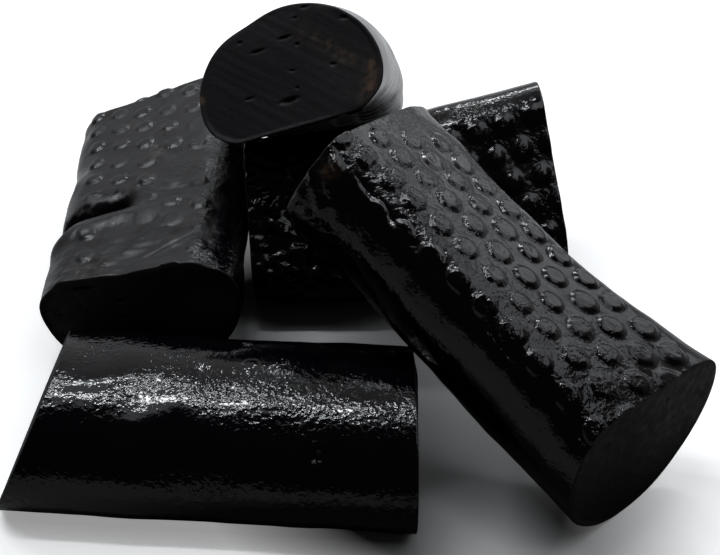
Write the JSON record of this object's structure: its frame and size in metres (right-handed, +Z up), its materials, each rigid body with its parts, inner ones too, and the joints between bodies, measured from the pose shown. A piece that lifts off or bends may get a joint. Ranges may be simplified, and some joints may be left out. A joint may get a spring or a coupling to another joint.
{
  "type": "heap of soft liquorice sticks",
  "caption": "Heap of loose, short, thick sticks of glossy black soft liquorice with a D-shaped section; some lie flat and some lean on their neighbours.",
  "frame": {"origin": "middle of the heap's footprint, on the surface that it rests on", "axes": "+Z up; +X to the right and +Y away from the front, so the front stick is at -Y and the top stick's rear end at +Y"},
  "size_m": [0.0828, 0.094, 0.0405],
  "materials": {
    "liquorice": "glossy near-black skin with a grainy sheen on the embossed flats, matte violet-black knife cuts"
  },
  "bodies": {
    "back_stick": {"back_stick": "liquorice"},
    "front_stick": {"front_stick": "liquorice"},
    "left_stick": {"left_stick": "liquorice"},
    "top_stick": {"top_stick": "liquorice"},
    "leaning_stick": {"leaning_stick": "liquorice"}
  },
  "joints": [
    {"name": "front_stick_slide", "type": "slide", "parent": "back_stick", "child": "front_stick", "axis": [0, -1, 0], "range_m": [0, 0.05]},
    {"name": "left_stick_slide", "type": "slide", "parent": "back_stick", "child": "left_stick", "axis": [-0.9701, 0.2425, 0], "range_m": [0, 0.05]},
    {"name": "top_stick_lift", "type": "slide", "parent": "back_stick", "child": "top_stick", "axis": [0, 0, 1], "range_m": [0, 0.06]},
    {"name": "leaning_stick_lift", "type": "slide", "parent": "back_stick", "child": "leaning_stick", "axis": [0, -0.4472, 0.8944], "range_m": [0, 0.06]}
  ]
}
